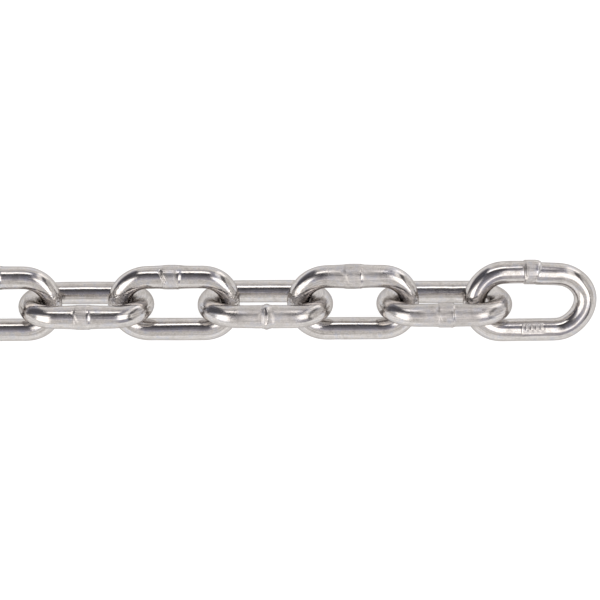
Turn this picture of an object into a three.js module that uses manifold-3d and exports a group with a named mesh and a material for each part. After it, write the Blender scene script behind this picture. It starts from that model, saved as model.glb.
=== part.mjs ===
// Welded steel load binder chain: oval links of round wire, each hooked through the next.
// The chain lies in one straight run on a flat floor. Neighbouring links lean to opposite sides. The
// last link, end_link, is a little slack: it lies flatter, and its free end rests on the floor.
// Millimetres. +X runs along the chain towards end_link, +Z is up, and the origin is the centre of
// the chain's underside.

import * as THREE from 'three';
import { mergeVertices } from 'three/addons/utils/BufferGeometryUtils.js';
import Module from 'manifold-3d';

// The link.
const wireDiameter = 8.0;
const insideLength = 32.1;
const insideWidth = 12.4;

// The weld ridge round the middle of one side.
const weldLength = 6.6;
const weldHeight = 0.4;
const weldShoulder = 1.2;
const weldRoot = 0.8;

// The run.
const linkCount = 20;
const seatGap = 0.4;
const endLinkSeatGap = 1.5;
const leanAngle = THREE.MathUtils.degToRad(45);
const endLinkLean = THREE.MathUtils.degToRad(33);
const endLinkDroop = THREE.MathUtils.degToRad(4.4);
const endLinkTurn = THREE.MathUtils.degToRad(1.5);

// Facets. With 16 sides, one facet of each leaning wire faces straight down. With an odd number of
// steps round a bend, one facet at its crown faces straight along the link, into the eye.
const sidesOfWire = 16;
const stepsPerBend = 9;
const stepsPerSide = 1;

// Bright zinc plating.
const zincColour = 0xc9ccd0;
const zincRoughness = 0.25;
const zincMetalness = 1.0;

const wireRadius = wireDiameter / 2;
const bendRadius = (insideWidth + wireDiameter) / 2;
const straightLength = insideLength - insideWidth;
const endWireDistance = (insideLength + wireDiameter) / 2;
const chainPitch = insideLength - seatGap;
const halfFacet = Math.PI / sidesOfWire;

// The middle of the wire, once round the link: a straight side, a half-circle bend, the other side
// and the other bend. Equal steps of t fall on the ends of the sides and on equal steps of each bend.
class LinkCentreLine extends THREE.Curve {
  constructor() {
    super();
    this.stepCount = 2 * (stepsPerBend + stepsPerSide);
  }

  getPoint(t, target = new THREE.Vector3()) {
    const { half, along, angle } = this.place(t);
    const side = half === 0 ? 1 : -1;
    if (angle === null) {
      return target.set(side * (along - 0.5) * straightLength, -side * bendRadius, 0);
    }
    const x = straightLength / 2 + bendRadius * Math.sin(angle);
    return target.set(side * x, -side * bendRadius * Math.cos(angle), 0);
  }

  getTangent(t, target = new THREE.Vector3()) {
    const { half, angle } = this.place(t);
    const side = half === 0 ? 1 : -1;
    if (angle === null) {
      return target.set(side, 0, 0);
    }
    return target.set(side * Math.cos(angle), side * Math.sin(angle), 0);
  }

  getPointAt(u, target) {
    return this.getPoint(u, target);
  }

  getTangentAt(u, target) {
    return this.getTangent(u, target);
  }

  // Each section of the wire is turned by half a facet, so that facets face along the link's axes.
  computeFrenetFrames(segments, closed) {
    const frames = super.computeFrenetFrames(segments, closed);
    frames.tangents.forEach((tangent, step) => {
      frames.normals[step].applyAxisAngle(tangent, halfFacet);
      frames.binormals[step].applyAxisAngle(tangent, halfFacet);
    });
    return frames;
  }

  // Which half of the link t is on, and how far along its side or round its bend.
  place(t) {
    const stepsPerHalf = this.stepCount / 2;
    const step = (t * this.stepCount) % this.stepCount;
    const half = step < stepsPerHalf ? 0 : 1;
    const stepInHalf = step - half * stepsPerHalf;
    if (stepInHalf < stepsPerSide) {
      return { half, along: stepInHalf / stepsPerSide, angle: null };
    }
    return { half, along: 1, angle: ((stepInHalf - stepsPerSide) / stepsPerBend) * Math.PI };
  }
}

// The round wire bent into a closed link, lying in the XY plane with its length along X.
function makeWireRing() {
  const centreLine = new LinkCentreLine();
  return new THREE.TubeGeometry(centreLine, centreLine.stepCount, wireRadius, sidesOfWire, true);
}

// The raised ring that welding leaves round the middle of the side at +Y.
function makeWeldRidge() {
  const top = wireRadius + weldHeight;
  const root = wireRadius - weldRoot;
  const profile = [
    new THREE.Vector2(root, -weldLength / 2),
    new THREE.Vector2(wireRadius, -weldLength / 2),
    new THREE.Vector2(top, weldShoulder - weldLength / 2),
    new THREE.Vector2(top, weldLength / 2 - weldShoulder),
    new THREE.Vector2(wireRadius, weldLength / 2),
    new THREE.Vector2(root, weldLength / 2),
    new THREE.Vector2(root, -weldLength / 2),
  ];
  const ridge = new THREE.LatheGeometry(profile, sidesOfWire, halfFacet);
  ridge.rotateZ(-Math.PI / 2);
  ridge.translate(0, bendRadius, 0);
  return ridge;
}

const manifold = await Module();
manifold.setup();

function toSolid(geometry) {
  const bare = geometry.clone();
  bare.deleteAttribute('normal');
  bare.deleteAttribute('uv');
  const merged = mergeVertices(bare);
  const mesh = new manifold.Mesh({
    numProp: 3,
    vertProperties: new Float32Array(merged.attributes.position.array),
    triVerts: new Uint32Array(merged.index.array),
  });
  return new manifold.Manifold(mesh);
}

function toGeometry(solid) {
  const mesh = solid.getMesh();
  const geometry = new THREE.BufferGeometry();
  geometry.setAttribute('position', new THREE.BufferAttribute(mesh.vertProperties, 3));
  geometry.setIndex(new THREE.BufferAttribute(mesh.triVerts, 1));
  geometry.computeVertexNormals();
  return geometry;
}

function makeLinkGeometry() {
  return toGeometry(toSolid(makeWireRing()).add(toSolid(makeWeldRidge())));
}

// Names count from the free end at +X.
function linkName(index) {
  if (index === 0) {
    return 'end_link';
  }
  if (index === linkCount - 1) {
    return 'far_end_link';
  }
  return `link_${String(index + 1).padStart(2, '0')}`;
}

// A link's own +Y side, which carries the weld, is its upper side. Even links lean it towards +Y and
// odd links towards -Y.
function leanOf(index) {
  if (index === 0) {
    return endLinkLean;
  }
  return index % 2 === 0 ? leanAngle : Math.PI - leanAngle;
}

// Each link hangs on the middle of its neighbour's end wire. end_link is slid a little into the chain,
// and about that wire it turns slightly aside and droops until its free end rests on the floor.
function placeLink(link, index) {
  const seat = new THREE.Group();
  seat.position.x = endWireDistance - (index + 1) * chainPitch;
  link.position.x = chainPitch - endWireDistance;
  link.rotation.x = leanOf(index);
  if (index === 0) {
    seat.rotation.set(0, endLinkDroop, endLinkTurn, 'ZYX');
    link.position.x -= endLinkSeatGap - seatGap;
  }
  seat.add(link);
  return seat;
}

const linkGeometry = makeLinkGeometry();
const chain = new THREE.Group();
for (let index = 0; index < linkCount; index += 1) {
  const zinc = new THREE.MeshStandardMaterial({
    color: zincColour,
    roughness: zincRoughness,
    metalness: zincMetalness,
  });
  const link = new THREE.Mesh(linkGeometry, zinc);
  link.name = linkName(index);
  chain.add(placeLink(link, index));
}

// The origin goes to the centre of the chain's underside.
const extent = new THREE.Box3().setFromObject(chain, true);
const middle = extent.getCenter(new THREE.Vector3());
chain.position.set(-middle.x, -middle.y, -extent.min.z);

const part = new THREE.Group();
part.add(chain);

export default part;
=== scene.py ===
"""A straight run of bright zinc-plated load binder chain, lying on a white studio floor.

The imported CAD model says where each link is. Each CAD link is stood for by a finely swept wire with
its own weld, its own small faults of shape, and a grainy plated surface. Three of them also lie a
fraction of a millimetre aside of their CAD links, as loose links do."""

import math
from dataclasses import dataclass

import bpy
import numpy as np
from mathutils import Matrix, Vector


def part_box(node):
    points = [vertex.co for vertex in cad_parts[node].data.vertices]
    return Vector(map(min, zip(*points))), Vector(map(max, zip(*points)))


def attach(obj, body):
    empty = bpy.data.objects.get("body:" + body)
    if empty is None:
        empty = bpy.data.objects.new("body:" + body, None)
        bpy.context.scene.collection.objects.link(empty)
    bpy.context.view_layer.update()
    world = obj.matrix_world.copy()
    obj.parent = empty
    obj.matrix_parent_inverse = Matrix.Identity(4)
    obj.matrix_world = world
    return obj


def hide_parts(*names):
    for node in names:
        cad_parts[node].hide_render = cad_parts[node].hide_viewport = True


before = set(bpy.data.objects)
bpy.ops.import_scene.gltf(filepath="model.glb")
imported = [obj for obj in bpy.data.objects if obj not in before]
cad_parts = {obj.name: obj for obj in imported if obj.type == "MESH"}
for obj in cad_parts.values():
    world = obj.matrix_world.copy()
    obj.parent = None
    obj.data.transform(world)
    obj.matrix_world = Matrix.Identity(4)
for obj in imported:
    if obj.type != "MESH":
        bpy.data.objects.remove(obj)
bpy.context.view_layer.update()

MM = 0.001

# Each link's own random draws start from this seed plus its place in the run.
FIRST_SEED = 100

# The link as the CAD has it, in millimetres. The middle of its wire runs along two straight sides and
# round two half-circle bends. The CAD's weld ring ends within WELD_CLEAR of the middle of its side.
WIRE_RADIUS = 4.0
BEND_RADIUS = 10.2
HALF_SIDE = 9.85
HALF_LENGTH = HALF_SIDE + BEND_RADIUS
WIRE_LENGTH = 4 * HALF_SIDE + 2 * math.pi * BEND_RADIUS
CROWN_PLACE = WIRE_LENGTH / 4
WELD_CLEAR = 5.0

# The fine mesh: steps along the wire in millimetres, and turns round it in degrees.
OUTLINE_STEP = 0.05
COARSE_STEP = 0.8
FINE_STEP = 0.2
WELD_REACH = 7.5
STAMP_MARGIN = 1.0
COARSE_TURN = 5.0
FINE_TURN = 1.5

# The faults of shape: lengths along the wire in millimetres, and the height of a wave as long as the
# whole link. Shorter waves are lower.
BEND_EASE = 3.5
STEP_BEFORE_WELD_END = 0.6
STEP_AFTER_WELD_END = 1.0
FLAT_END_WIDTH = 7.0
WAVE_HEIGHT = 0.05

# The weld: widths and offsets in millimetres along the wire, and facings in degrees round it, from
# straight up towards -Y. GROOVE_OFFSET counts in widths of the ridge.
WELD_FACING = 20.0
UNDERSIDE_FADE = 0.2
SLANT_REACH = 60.0
SWELL_WIDTH = 5.0
NOTCH_WIDTH = 0.4
NOTCH_RISE = (-25.0, 0.0)
NOTCH_FALL = (40.0, 65.0)
DIMPLE_OFFSET = 1.7
DIMPLE_WIDTH = 0.8
DIMPLE_FACING = 25.0
DIMPLE_SPREAD = 28.0
GROOVE_SHARE = 0.15
GROOVE_OFFSET = 2.2
GROOVE_WIDTH = 0.3

# The stamp on the side across from the weld. Its turn and reach are in degrees round the wire, from
# straight out of the eye. A dot's edge slopes between its two radii.
STAMP_HALF_LENGTH = 3.9
STAMP_HALF_WIDTH = 1.9
STAMP_PLACE = 1.0
STAMP_TURN = 111.0
STAMP_REACH = 40.0
STAMP_DEPTH = 0.05
STAMP_FRAME_WIDTH = 0.35
STAMP_FRAME_HEIGHT = 0.03
STAMP_SATIN = 0.6
BAR_PLACES = (-2.7, -0.9, 0.9, 2.7)
BAR_ASIDE = 0.3
BAR_HALF_SIZE = (0.28, 0.95)
DOT_PLACES = (-1.8, 0.0, 1.8)
DOT_ASIDE = -0.9
DOT_RADII = (0.22, 0.42)
MARK_HEIGHT = 0.09

# The finish: where the wire is satin round the weld, and where its bends are peened by their neighbours.
SCUFF_FADE = (4.0, 16.0)
SCUFF_FACING = 25.0
SCUFF_SPREAD = 110.0
WELD_SATIN = 0.6
WELD_SATIN_EDGE = 0.5
RIDGE_RUB = 0.8
RUB_SHARE = 0.7
RUB_EXTRA = 0.2
PEEN_WIDTH = 5.0

# The camera, which looks along +Y and down on the end of the chain. The lens and its sensor are in
# millimetres, and the other lengths in metres.
CAMERA_ELEVATION = math.radians(71)
CAMERA_ROLL = math.radians(0.25)
CAMERA_LENS = 120.0
SENSOR_WIDTH = 36.0
VIEW_WIDTH = 0.2128
AIM_PAST_LINK_03 = -0.0194
AIM_ABOVE_CHAIN = 0.001


def smooth(low, high, value):
    """0 at low, 1 at high, and an S-curve between."""
    share = np.clip((value - low) / (high - low), 0.0, 1.0)
    return share * share * (3.0 - 2.0 * share)


def bell(value, width):
    """A bell of height 1 round 0."""
    return np.exp(-((value / width) ** 2))


def wrapped(value, whole):
    """The value, brought by whole rounds to within half a round of 0."""
    return (value + whole / 2) % whole - whole / 2


# ---------------------------------------------------------------- the links


@dataclass
class Link:
    """What sets one link apart, in millimetres unless it says otherwise. Along the wire, places count
    from the middle of the welded side, towards +X."""

    weld_start: float = -3.0
    weld_end: float = 3.0
    band: float = 0.12  # how far the collar between them stands out
    edge: float = 0.35  # half the length over which the collar rises
    ridge: float = 0.1  # how far the bead at weld_end stands out
    ridge_width: float = 0.5
    ridge_slant: float = 0.0  # along the wire, for each degree round it
    notch: float = 0.25  # how deep the groove at weld_start is
    notch_slant: float = 0.03
    dimple: float = 0.0  # how deep the hollows beside the bead are
    swell: float = 0.12  # how much the wire bulges round the weld
    mismatch: float = 0.0  # the step down past the weld
    taper: float = 0.0  # the share by which the +X end is narrower
    bow: float = 0.1  # how far the welded side bows out
    lop: float = 0.0  # how far the plain side's +X corner is pushed in
    lean: float = 0.0  # degrees about its length, its welded side towards +Y
    slide: float = 0.0  # towards -Y
    flat_end: float = 0.0  # how much the outside of the +X bend is flattened
    scuff: float = 0.2  # from 0 to 1, how satin it is round the weld
    satin: float = 0.0  # from 0 to 1, how satin it is all over
    peen: float = 0.6  # how dented its bends are
    stamped: bool = False


LINKS = {
    "end_link": Link(
        weld_start=-2.7, weld_end=1.5, band=0.45, edge=0.16, ridge=0.06, notch=0.55, notch_slant=0.006,
        swell=0.0, mismatch=0.5, taper=0.02, bow=0.65, lop=0.9, scuff=0.15, peen=0.1,
        stamped=True,
    ),
    "link_02": Link(
        weld_start=-2.7, weld_end=2.4, band=0.3, edge=0.3, ridge=0.14, notch=0.2, lean=2.4, slide=0.55,
        scuff=1.0, satin=0.15, peen=0.4,
    ),
    "link_03": Link(
        weld_start=-3.6, weld_end=2.2, band=0.14, edge=0.4, ridge=0.1, notch=0.3, swell=0.3,
        flat_end=1.3, scuff=0.9, peen=1.2,
    ),
    "link_04": Link(
        weld_start=0.3, weld_end=0.6, band=0.0, ridge=0.55, ridge_width=0.9, notch=0.5, notch_slant=0.0,
        dimple=0.4, slide=0.3, scuff=0.9, satin=0.1, peen=0.3,
    ),
    "link_05": Link(
        weld_start=-4.3, weld_end=1.5, band=0.12, edge=0.4, ridge=0.1, ridge_slant=-0.008, notch=0.5,
        swell=0.25, flat_end=1.4, scuff=0.05, peen=1.6,
    ),
    "link_06": Link(
        weld_start=-2.8, weld_end=1.9, band=0.12, edge=0.45, ridge=0.1, notch=0.12, swell=0.3,
        lean=1.2, slide=0.5, scuff=0.3,
    ),
    "link_07": Link(
        weld_start=-3.2, weld_end=2.2, edge=0.4, notch=0.25, flat_end=1.0, scuff=0.2, peen=1.6,
    ),
}


def other_link(random):
    """A link like the ones above, for the run past them."""
    middle = random.uniform(-1.5, 1.5)
    return Link(
        weld_start=middle - random.uniform(2.2, 3.4),
        weld_end=middle + random.uniform(2.2, 3.4),
        band=random.uniform(0.08, 0.3),
        ridge=random.uniform(0.06, 0.3),
        ridge_width=random.uniform(0.4, 0.55),
        notch=random.uniform(0.0, 0.4),
        notch_slant=random.uniform(-0.03, 0.03),
        dimple=random.choice([0.0, 0.0, 0.15]),
        mismatch=random.uniform(-0.2, 0.4),
        taper=random.uniform(-0.01, 0.02),
        bow=random.uniform(0.0, 0.15),
        scuff=random.choice([0.1, 0.3, 0.6, 1.0]),
        satin=random.uniform(0.0, 0.3),
        peen=random.uniform(0.2, 1.6),
    )


def link_place(name):
    """The CAD link's centre and its unit directions: along it towards +X, across it to its welded
    side, and square to both."""
    points = np.array([v.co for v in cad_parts[name].data.vertices])
    points = np.unique(points.round(7), axis=0)
    spread = np.linalg.svd(points - points.mean(0), full_matrices=False)[2]
    along = spread[0] * np.sign(spread[0][0])
    across = spread[1] * np.sign(spread[1][2])
    square = np.cross(along, across)
    clear = points[np.abs((points - points.mean(0)) @ along) > WELD_CLEAR * MM]
    centre = np.zeros(3)
    for direction in (along, across, square):
        reach = clear @ direction
        centre += direction * (reach.max() + reach.min()) / 2
    return centre, along, across, square


def settled_place(name, link):
    """The link's place after its own lean and slide. It is raised by as much as the lean lowers its
    plain side."""
    centre, along, across, square = link_place(name)
    lean = math.radians(link.lean)
    leaned = across * math.cos(lean) - square * math.sin(lean)
    raised = BEND_RADIUS * (leaned[2] - across[2])
    centre = centre + MM * np.array([0.0, -link.slide, raised])
    return centre, along, leaned, square * math.cos(lean) + across * math.sin(lean)


def ideal_outline(travel):
    """The middle of the wire once round the link, as (along, across): two straight sides that ease
    into two half-circle bends."""
    bend = math.pi * BEND_RADIUS
    ease = BEND_EASE / 2
    turn = np.zeros(len(travel))
    for start in (HALF_SIDE, 3 * HALF_SIDE + bend):
        rise = smooth(start - ease, start + ease, travel)
        fall = smooth(start + bend - ease, start + bend + ease, travel)
        turn += (rise - fall) / BEND_RADIUS
    step = WIRE_LENGTH / len(travel)
    heading = -(np.cumsum(turn) - turn / 2) * step
    along = np.cumsum(np.cos(heading)) * step
    across = np.cumsum(np.sin(heading)) * step
    along -= (along.max() + along.min()) / 2
    across -= (across.max() + across.min()) / 2
    return along * HALF_LENGTH / along.max(), across * BEND_RADIUS / across.max()


def link_outline(link):
    """Lengths along the wire and the wire's middle there, as (along, across), with the link's faults."""
    count = round(WIRE_LENGTH / OUTLINE_STEP)
    travel = np.arange(count) * WIRE_LENGTH / count
    along, across = ideal_outline(travel)
    side = across / BEND_RADIUS
    share = along / HALF_LENGTH
    step_down = smooth(link.weld_end - STEP_BEFORE_WELD_END, link.weld_end + STEP_AFTER_WELD_END, travel)
    step_down -= smooth(HALF_SIDE, CROWN_PLACE, travel)
    across = across - link.mismatch * step_down
    along = along - link.lop * smooth(0.0, 1.0, share) * smooth(-0.5, 1.0, -side)
    across = across * (1.0 - link.taper * share)
    across = across + link.bow * np.clip(side, 0.0, 1.0) * np.cos(share * math.pi / 2)
    return travel, np.stack([along, across])


def out_of_eye(outline):
    """The unit directions out of the eye, square to the outline."""
    ahead = np.roll(outline, -1, axis=1) - np.roll(outline, 1, axis=1)
    ahead /= np.linalg.norm(ahead, axis=0)
    return np.stack([-ahead[1], ahead[0]])


def stations(stamped):
    """Lengths along the wire where the mesh has a ring of points, close together at the weld and at
    the stamp."""
    places = []
    place = 0.0
    while place < WIRE_LENGTH - FINE_STEP / 2:
        places.append(place)
        near_weld = min(place, WIRE_LENGTH - place) < WELD_REACH
        near_stamp = stamped and abs(place - WIRE_LENGTH / 2) < STAMP_HALF_LENGTH + STAMP_MARGIN
        place += FINE_STEP if near_weld or near_stamp else COARSE_STEP
    return np.array(places)


def turns(stamped):
    """Angles round the wire, from straight out of the eye, in degrees."""
    if not stamped:
        return np.arange(0.0, 360.0, COARSE_TURN)
    fine = np.arange(STAMP_TURN - STAMP_REACH, STAMP_TURN + STAMP_REACH, FINE_TURN)
    coarse = np.arange(STAMP_TURN + STAMP_REACH, STAMP_TURN - STAMP_REACH + 360.0, COARSE_TURN)
    return np.concatenate([fine, coarse])


# ---------------------------------------------------------------- the weld, the stamp and faults


def weld_relief(link, place, facing):
    """How far the surface stands out round the weld. place is from the middle of the welded side,
    and facing is in degrees from straight up towards -Y."""
    start = link.weld_start
    end = link.weld_end
    edge = link.edge
    toward_top = (1.0 - UNDERSIDE_FADE) + UNDERSIDE_FADE * np.cos(np.radians(facing - WELD_FACING))
    on_side = np.clip(facing - WELD_FACING, -SLANT_REACH, SLANT_REACH)
    on_top = smooth(*NOTCH_RISE, facing) - smooth(*NOTCH_FALL, facing)
    band = smooth(start - edge, start + edge, place) - smooth(end - edge, end + edge, place)
    from_ridge = place - end - link.ridge_slant * on_side
    from_notch = place - start - link.notch_slant * on_side
    relief = link.band * band * toward_top
    relief += link.swell * bell(place - (start + end) / 2, SWELL_WIDTH)
    relief += link.ridge * bell(from_ridge, link.ridge_width) * toward_top
    relief -= link.notch * bell(from_notch, NOTCH_WIDTH) * on_top
    for side in (-1.0, 1.0):
        hollow = bell(place - end - DIMPLE_OFFSET * side, DIMPLE_WIDTH)
        relief -= link.dimple * hollow * bell(facing - DIMPLE_FACING, DIMPLE_SPREAD)
        groove = bell(from_ridge - GROOVE_OFFSET * link.ridge_width * side, GROOVE_WIDTH)
        relief -= GROOVE_SHARE * link.ridge * groove
    return relief


def box_mask(u, v, half_u, half_v, soft=0.12):
    """1 inside a rectangle round 0, with soft edges."""
    inside_u = 1.0 - smooth(half_u - soft, half_u + soft, np.abs(u))
    inside_v = 1.0 - smooth(half_v - soft, half_v + soft, np.abs(v))
    return inside_u * inside_v


def stamp_relief(place, across_wire):
    """A plain stamped pad: a shallow rectangular recess, a low frame round it, and bars and dots
    that spell nothing."""
    recess = box_mask(place, across_wire, STAMP_HALF_LENGTH, STAMP_HALF_WIDTH)
    frame_half_length = STAMP_HALF_LENGTH + STAMP_FRAME_WIDTH
    frame_half_width = STAMP_HALF_WIDTH + STAMP_FRAME_WIDTH
    wide = box_mask(place, across_wire, frame_half_length, frame_half_width)
    relief = STAMP_FRAME_HEIGHT * (wide - recess) - STAMP_DEPTH * recess
    for centre in BAR_PLACES:
        relief += MARK_HEIGHT * box_mask(place - centre, across_wire - BAR_ASIDE, *BAR_HALF_SIZE)
    for centre in DOT_PLACES:
        from_dot = np.hypot(place - centre, across_wire - DOT_ASIDE)
        relief += MARK_HEIGHT * (1.0 - smooth(*DOT_RADII, from_dot))
    return relief


def faults(place, turn, random):
    """Long shallow waves over the wire, as rolling and bending leave them."""
    relief = np.zeros_like(place)
    for waves in (2, 3, 5, 7, 11, 16):
        order = random.choice([1, 2, 3])
        phase = random.uniform(0, 2 * math.pi, 2)
        height = WAVE_HEIGHT / waves**0.7
        wave = np.cos(2 * math.pi * waves * place / WIRE_LENGTH + phase[0])
        relief += height * wave * np.cos(order * np.radians(turn) + phase[1])
    return relief


def scuff_mask(link, place, facing):
    """How satin the surface is, from 0 to 1: most at the weld, on top of the welded side. The ridge is
    rubbed bright. place and facing are as for weld_relief."""
    near = 1.0 - smooth(*SCUFF_FADE, np.abs(place))
    rise_start = link.weld_start - WELD_SATIN_EDGE
    fall_end = link.weld_end - WELD_SATIN_EDGE
    weld = smooth(rise_start, link.weld_start, place)
    weld = weld - smooth(fall_end - WELD_SATIN_EDGE, fall_end, place)
    on_top = bell(facing - SCUFF_FACING, SCUFF_SPREAD)
    rubbed = bell(place - link.weld_end, RUB_SHARE * link.ridge_width + RUB_EXTRA)
    satin = np.clip(link.satin + link.scuff * near * on_top + WELD_SATIN * weld, 0.0, 1.0)
    return satin * (1.0 - RIDGE_RUB * rubbed)


def stamped_over(radius, scuff, place, turn):
    """The radius and the satin with the stamp added."""
    across_wire = np.radians(wrapped(turn - STAMP_TURN, 360.0)) * WIRE_RADIUS
    along_wire = WIRE_LENGTH / 2 - place - STAMP_PLACE
    pad = box_mask(along_wire, across_wire, STAMP_HALF_LENGTH, STAMP_HALF_WIDTH)
    return radius + stamp_relief(along_wire, across_wire), np.maximum(scuff, STAMP_SATIN * pad)


def build_link(name, link, random):
    """The link's mesh, in the row frame, with what its material reads."""
    centre, along, across, square = settled_place(name, link)
    travel, outline = link_outline(link)
    places = stations(link.stamped)
    path = [np.interp(places, travel, row, period=WIRE_LENGTH) for row in outline]
    out = [np.interp(places, travel, row, period=WIRE_LENGTH) for row in out_of_eye(outline)]
    place, turn = np.meshgrid(places, turns(link.stamped), indexing="ij")
    cosine = np.cos(np.radians(turn))
    sine = np.sin(np.radians(turn))

    wire_middle = path[0][:, None, None] * along + path[1][:, None, None] * across
    outward = out[0][:, None, None] * along + out[1][:, None, None] * across
    normal = cosine[..., None] * outward + sine[..., None] * square
    facing = np.degrees(np.arctan2(-normal[..., 1], normal[..., 2]))
    from_weld = wrapped(place, WIRE_LENGTH)

    radius = WIRE_RADIUS + weld_relief(link, from_weld, facing) + faults(place, turn, random)
    radius -= link.flat_end * bell(place - CROWN_PLACE, FLAT_END_WIDTH) * np.clip(cosine, 0.0, 1.0) ** 2
    scuff = scuff_mask(link, from_weld, facing)
    if link.stamped:
        radius, scuff = stamped_over(radius, scuff, place, turn)
    worn = link.peen * bell(np.abs(from_weld) - CROWN_PLACE, PEEN_WIDTH)

    points = centre + MM * (wire_middle + radius[..., None] * normal)
    wire_space = np.stack([place, WIRE_RADIUS * cosine, WIRE_RADIUS * sine], axis=-1)
    return make_ring_mesh(name, points, {"wire_space": wire_space, "scuff": scuff, "worn": worn})


def make_ring_mesh(name, points, facts):
    """A closed tube mesh from its grid of points, rings first, with each fact as a point attribute."""
    rings, sides = points.shape[:2]
    ring, side = np.meshgrid(np.arange(rings), np.arange(sides), indexing="ij")
    next_ring = (ring + 1) % rings
    next_side = (side + 1) % sides
    corners = [(ring, side), (ring, next_side), (next_ring, next_side), (next_ring, side)]
    quads = np.stack([(r * sides + s).ravel() for r, s in corners], axis=1)
    mesh = bpy.data.meshes.new(f"{name}_wire")
    mesh.vertices.add(rings * sides)
    mesh.vertices.foreach_set("co", points.reshape(-1))
    mesh.loops.add(quads.size)
    mesh.loops.foreach_set("vertex_index", quads.reshape(-1))
    mesh.polygons.add(len(quads))
    mesh.polygons.foreach_set("loop_start", np.arange(len(quads)) * 4)
    mesh.update()
    mesh.polygons.foreach_set("use_smooth", np.ones(len(quads), bool))
    for fact, values in facts.items():
        kind, field = ("FLOAT_VECTOR", "vector") if values.ndim == 3 else ("FLOAT", "value")
        attribute = mesh.attributes.new(fact, kind, "POINT")
        attribute.data.foreach_set(field, values.reshape(-1).astype(np.float32))
    mesh.validate()
    piece = bpy.data.objects.new(f"{name}_wire", mesh)
    bpy.context.scene.collection.objects.link(piece)
    return piece


# ---------------------------------------------------------------- materials


class Nodes:
    """Short ways to add nodes to a tree."""

    def __init__(self, tree):
        self.tree = tree

    def add(self, kind, **settings):
        node = self.tree.nodes.new(kind)
        for key, value in settings.items():
            setattr(node, key, value)
        return node

    def join(self, source, target):
        self.tree.links.new(source, target)

    def fact(self, name, output="Fac"):
        """What the mesh's point attribute of that name says."""
        return self.add("ShaderNodeAttribute", attribute_name=name).outputs[output]

    def math(self, operation, first, second, clamp=False):
        node = self.add("ShaderNodeMath", operation=operation, use_clamp=clamp)
        for socket, value in zip(node.inputs, (first, second)):
            if isinstance(value, (int, float)):
                socket.default_value = value
            else:
                self.join(value, socket)
        return node.outputs[0]

    def plus(self, first, second, clamp=False):
        return self.math("ADD", first, second, clamp)

    def times(self, first, second):
        return self.math("MULTIPLY", first, second)

    def noise(self, vector, scale, detail, roughness):
        node = self.add("ShaderNodeTexNoise")
        node.inputs["Scale"].default_value = scale
        node.inputs["Detail"].default_value = detail
        node.inputs["Roughness"].default_value = roughness
        self.join(vector, node.inputs["Vector"])
        return node.outputs["Fac"]

    def mapping(self, vector, **settings):
        """The vector after a mapping, whose settings are its inputs."""
        node = self.add("ShaderNodeMapping")
        for key, value in settings.items():
            node.inputs[key].default_value = value
        self.join(vector, node.inputs["Vector"])
        return node.outputs["Vector"]

    def span(self, value, source, target):
        """The value, carried from the source range to the target range and held inside it."""
        node = self.add("ShaderNodeMapRange")
        for key, number in zip(("From Min", "From Max", "To Min", "To Max"), (*source, *target)):
            node.inputs[key].default_value = number
        self.join(value, node.inputs["Value"])
        return node.outputs["Result"]

    def ramp(self, value, stops):
        node = self.add("ShaderNodeValToRGB")
        marks = node.color_ramp.elements
        while len(marks) < len(stops):
            marks.new(0.5)
        for mark, (place, colour) in zip(marks, stops):
            mark.position = place
            mark.color = (*colour, 1.0)
        self.join(value, node.inputs["Fac"])
        return node.outputs["Color"]

    def mix(self, share, first, second, blend_type="MIX"):
        """first where share is 0 and second, blended in, where it is 1."""
        node = self.add("ShaderNodeMix", data_type="RGBA", blend_type=blend_type)
        for key, value in (("Factor", share), ("A", first), ("B", second)):
            if isinstance(value, (float, tuple)):
                node.inputs[key].default_value = value
            else:
                self.join(value, node.inputs[key])
        return node.outputs["Result"]


ZINC_LIGHT = (0.61, 0.58, 0.558)
ZINC_DARK = (0.5, 0.475, 0.455)
ZINC_COOL = (0.53, 0.53, 0.565)
ZINC_EDGE_TINT = (0.52, 0.5, 0.485, 1.0)
ZINC_BUMP_STRENGTH = 0.6
ZINC_BUMP_DISTANCE = 0.025 * MM
LINE_STRETCH = (0.05, 2.2, 2.2)
SATIN_ROUGHNESS = 0.36
PEENED_RELIEF = 18.0
FLOOR_GREY = (0.25, 0.25, 0.25, 1.0)
FLOOR_GLOW = (1.0, 1.0, 1.0, 1.0)
FLOOR_GLOW_STRENGTH = 0.9


def zinc_colour(nodes, clouds, grain, lines):
    """Cloudy patches of light, dark and cool grey under fine specks and drawn lines."""
    colour = nodes.ramp(clouds, [(0.3, ZINC_DARK), (0.5, ZINC_LIGHT), (0.72, ZINC_COOL)])
    speck = nodes.span(grain, (0.3, 0.7), (0.88, 1.1))
    speck = nodes.times(speck, nodes.span(lines, (0.3, 0.7), (0.8, 1.2)))
    return nodes.mix(1.0, colour, speck, "MULTIPLY")


def zinc_roughness(nodes, clouds, pits, lines, scuff):
    """Bright, a little cloudy and lined, and satin in patches where the wire is scuffed."""
    patchy = nodes.times(scuff, nodes.span(pits, (0.35, 0.62), (0.75, 1.15)))
    bright = nodes.span(clouds, (0.3, 0.7), (0.08, 0.13))
    rough = nodes.plus(bright, nodes.times(patchy, SATIN_ROUGHNESS))
    return nodes.plus(rough, nodes.span(lines, (0.3, 0.7), (-0.02, 0.04)), clamp=True)


def zinc_relief(nodes, place, grain, pits, lines, scuff):
    """Drawn lines, deeper where the wire is scuffed, with grain, pits, and dents in the bends."""
    relief = nodes.times(lines, nodes.span(scuff, (0.0, 1.0), (0.8, 3.5)))
    relief = nodes.plus(relief, nodes.times(grain, 0.6))
    relief = nodes.plus(relief, nodes.times(nodes.span(pits, (0.25, 0.45), (0.0, 1.0)), 0.5))
    dents = nodes.times(nodes.noise(place, scale=1.1, detail=2.0, roughness=0.55), nodes.fact("worn"))
    return nodes.plus(relief, nodes.times(dents, PEENED_RELIEF))


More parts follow.
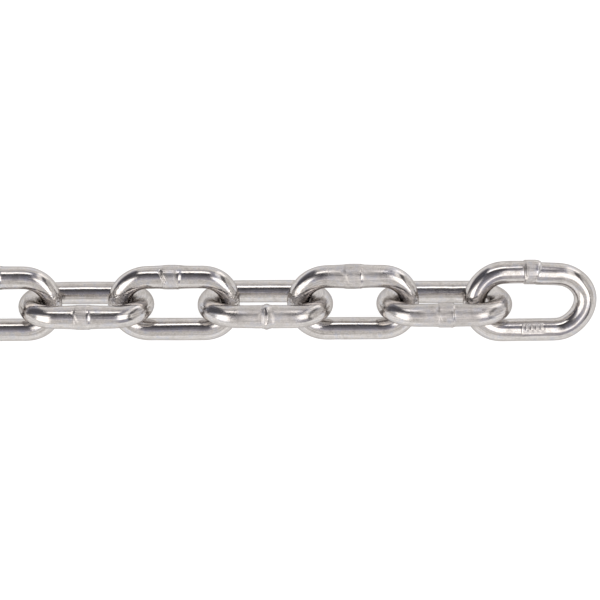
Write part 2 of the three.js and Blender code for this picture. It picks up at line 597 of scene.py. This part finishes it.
def zinc_material(name, random):
    """Bright zinc plating: metal with a fine grain, drawn lines along the wire, cloudy patches, and
    duller scuffed places."""
    material = bpy.data.materials.new(name)
    material.use_nodes = True
    nodes = Nodes(material.node_tree)
    shader = material.node_tree.nodes["Principled BSDF"]
    shader.inputs["Metallic"].default_value = 1.0
    shader.inputs["Specular Tint"].default_value = ZINC_EDGE_TINT

    shift = Vector(random.uniform(0, 400, 3))
    place = nodes.mapping(nodes.fact("wire_space", "Vector"), Location=shift)
    scuff = nodes.fact("scuff")
    clouds = nodes.noise(place, scale=0.35, detail=3.0, roughness=0.6)
    grain = nodes.noise(place, scale=2.4, detail=2.0, roughness=0.6)
    pits = nodes.noise(place, scale=1.5, detail=3.0, roughness=0.7)
    drawn = nodes.mapping(place, Scale=LINE_STRETCH)
    lines = nodes.noise(drawn, scale=1.6, detail=3.0, roughness=0.65)

    nodes.join(zinc_colour(nodes, clouds, grain, lines), shader.inputs["Base Color"])
    nodes.join(zinc_roughness(nodes, clouds, pits, lines, scuff), shader.inputs["Roughness"])
    bump = nodes.add("ShaderNodeBump")
    bump.inputs["Strength"].default_value = ZINC_BUMP_STRENGTH
    bump.inputs["Distance"].default_value = ZINC_BUMP_DISTANCE
    nodes.join(zinc_relief(nodes, place, grain, pits, lines, scuff), bump.inputs["Height"])
    nodes.join(bump.outputs["Normal"], shader.inputs["Normal"])
    return material


def floor_material():
    """Plain white that glows a little, so that it stays white round the chain's soft shadow."""
    material = bpy.data.materials.new("floor_white")
    material.use_nodes = True
    shader = material.node_tree.nodes["Principled BSDF"]
    shader.inputs["Base Color"].default_value = FLOOR_GREY
    shader.inputs["Roughness"].default_value = 0.9
    shader.inputs["Specular IOR Level"].default_value = 0.1
    shader.inputs["Emission Color"].default_value = FLOOR_GLOW
    shader.inputs["Emission Strength"].default_value = FLOOR_GLOW_STRENGTH
    return material


# ---------------------------------------------------------------- studio

FLOOR_HALF = 3.0

# The studio, by the angle from the horizon at -Y, over the top, to the horizon at +Y, in degrees, with
# the brightness there. MIDDLE_BAND is over the chain: it fades to a dark gap overhead, with a thin
# strip light just past it. The others are past its ends: a tall soft box low on the left, a smaller one
# on the right, and a dark wall behind the left one.
LEFT_BAND = [
    (0, 0.85), (6, 0.85), (16, 2.3), (72, 2.3), (84, 0.7), (92, 0.3), (100, 0.12), (154, 0.12),
    (166, 0.5), (180, 0.7),
]
MIDDLE_BAND = [
    (0, 0.8), (40, 0.8), (54, 0.6), (60, 0.4), (72, 0.27), (89, 0.14), (100, 0.09), (112, 0.09),
    (116, 2.9), (124, 2.9), (128, 0.6), (146, 0.65), (158, 0.9), (180, 0.9),
]
RIGHT_BAND = [
    (0, 0.5), (30, 0.55), (43, 2.3), (80, 2.3), (88, 0.5), (100, 0.4), (138, 0.4), (150, 0.85),
    (180, 0.85),
]

# The sideways direction, from -1 to 1 along X, over which one band gives way to the next.
LEFT_EDGE = (-0.42, -0.34)
RIGHT_EDGE = (0.19, 0.28)

# The sky's brightest possible level, and its tints: warm above WARM_FROM, and cool up to it.
SKY_PEAK = 3.0
WARM_FROM = 0.6
WARM_WHITE = (1.0, 0.975, 0.955)
COOL_GREY = (0.95, 0.93, 1.05)


@dataclass
class Panel:
    """A soft box or a dark flag in the sky, by the same sideways direction and angle: the range of
    each, the width of its soft edges in each, and its brightness."""

    sideways: tuple
    angles: tuple
    soft: tuple
    level: float


PANELS = [
    Panel(sideways=(0.42, 0.66), angles=(80, 190), soft=(0.06, 8.0), level=1.2),
    Panel(sideways=(0.42, 0.78), angles=(146, 190), soft=(0.06, 8.0), level=1.7),
    Panel(sideways=(0.64, 0.8), angles=(-10, 146), soft=(0.04, 12.0), level=0.16),
    Panel(sideways=(0.78, 1.2), angles=(-10, 146), soft=(0.05, 12.0), level=0.75),
    Panel(sideways=(-1.2, -0.82), angles=(-10, 92), soft=(0.06, 12.0), level=0.6),
]


def add_floor(wires):
    """A wide sheet that the lowest of the wires just touches."""
    lowest = min(v.co.z for wire in wires for v in wire.data.vertices)
    mesh = bpy.data.meshes.new("studio_floor")
    corners = [(-1, -1), (1, -1), (1, 1), (-1, 1)]
    mesh.from_pydata([(x * FLOOR_HALF, y * FLOOR_HALF, lowest) for x, y in corners], [], [(0, 1, 2, 3)])
    floor = bpy.data.objects.new("studio_floor", mesh)
    bpy.context.scene.collection.objects.link(floor)
    floor.data.materials.append(floor_material())


def tinted(tint, level):
    """A sky colour, as a share of SKY_PEAK."""
    return tuple(channel * level / SKY_PEAK for channel in tint)


def band_colour(nodes, share, band):
    """The brightness of a band of sky, at a share of the way from one horizon to the other."""
    stops = []
    for degrees, level in band:
        tint = WARM_WHITE if level > WARM_FROM else COOL_GREY
        stops.append((degrees / 180.0, tinted(tint, level)))
    return nodes.ramp(share, stops)


def window(nodes, value, low, high, soft):
    """1 where value is between low and high, with soft edges."""
    rise = nodes.span(value, (low, low + soft), (0.0, 1.0))
    fall = nodes.span(value, (high - soft, high), (1.0, 0.0))
    return nodes.times(rise, fall)


def with_panel(nodes, sky, x, degrees, panel):
    """The sky with a panel in front of it."""
    across = window(nodes, x, *panel.sideways, panel.soft[0])
    up = window(nodes, degrees, *panel.angles, panel.soft[1])
    return nodes.mix(nodes.times(across, up), sky, (*tinted(WARM_WHITE, panel.level), 1.0))


def light_the_studio():
    """A soft studio all round: three bands of sky side by side, with panels in front of them."""
    world = bpy.data.worlds.new("studio")
    bpy.context.scene.world = world
    world.use_nodes = True
    nodes = Nodes(world.node_tree)
    apart = nodes.add("ShaderNodeSeparateXYZ")
    nodes.join(nodes.add("ShaderNodeTexCoord").outputs["Generated"], apart.inputs["Vector"])
    x, y, z = apart.outputs
    angle = nodes.math("ARCTAN2", z, nodes.times(y, -1.0))
    share = nodes.math("DIVIDE", angle, math.pi, clamp=True)
    sky = band_colour(nodes, share, LEFT_BAND)
    for edge, band in ((LEFT_EDGE, MIDDLE_BAND), (RIGHT_EDGE, RIGHT_BAND)):
        sky = nodes.mix(nodes.span(x, edge, (0.0, 1.0)), sky, band_colour(nodes, share, band))
    degrees = nodes.times(angle, 180.0 / math.pi)
    for panel in PANELS:
        sky = with_panel(nodes, sky, x, degrees, panel)
    background = world.node_tree.nodes["Background"]
    nodes.join(sky, background.inputs["Color"])
    background.inputs["Strength"].default_value = SKY_PEAK


def add_camera():
    """Looks along +Y and down, at the free end of the chain."""
    link_03 = link_place("link_03")[0]
    up = Vector((0.0, math.sin(CAMERA_ELEVATION), math.cos(CAMERA_ELEVATION)))
    back = Vector((0.0, -math.cos(CAMERA_ELEVATION), math.sin(CAMERA_ELEVATION)))
    aim = Vector(link_03) + Vector((AIM_PAST_LINK_03, 0.0, 0.0)) + AIM_ABOVE_CHAIN * up
    data = bpy.data.cameras.new("camera")
    data.lens = CAMERA_LENS
    data.sensor_width = SENSOR_WIDTH
    data.clip_start = 0.01
    data.clip_end = 50.0
    camera = bpy.data.objects.new("camera", data)
    camera.location = aim + back * (VIEW_WIDTH * CAMERA_LENS / SENSOR_WIDTH)
    turn = Matrix.Rotation(math.pi / 2 - CAMERA_ELEVATION, 3, "X") @ Matrix.Rotation(-CAMERA_ROLL, 3, "Z")
    camera.rotation_euler = turn.to_euler()
    bpy.context.scene.collection.objects.link(camera)
    bpy.context.scene.camera = camera


# ---------------------------------------------------------------- the scene

add_camera()
link_names = sorted(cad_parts, key=lambda name: -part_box(name)[0].x)
wires = []
for index, name in enumerate(link_names):
    random = np.random.default_rng(FIRST_SEED + index)
    link = LINKS.get(name) or other_link(random)
    wire = build_link(name, link, random)
    wire.data.materials.append(zinc_material(f"zinc_{name}", random))
    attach(wire, name)
    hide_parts(name)
    wires.append(wire)

add_floor(wires)
light_the_studio()
bpy.context.scene.view_settings.view_transform = "Standard"
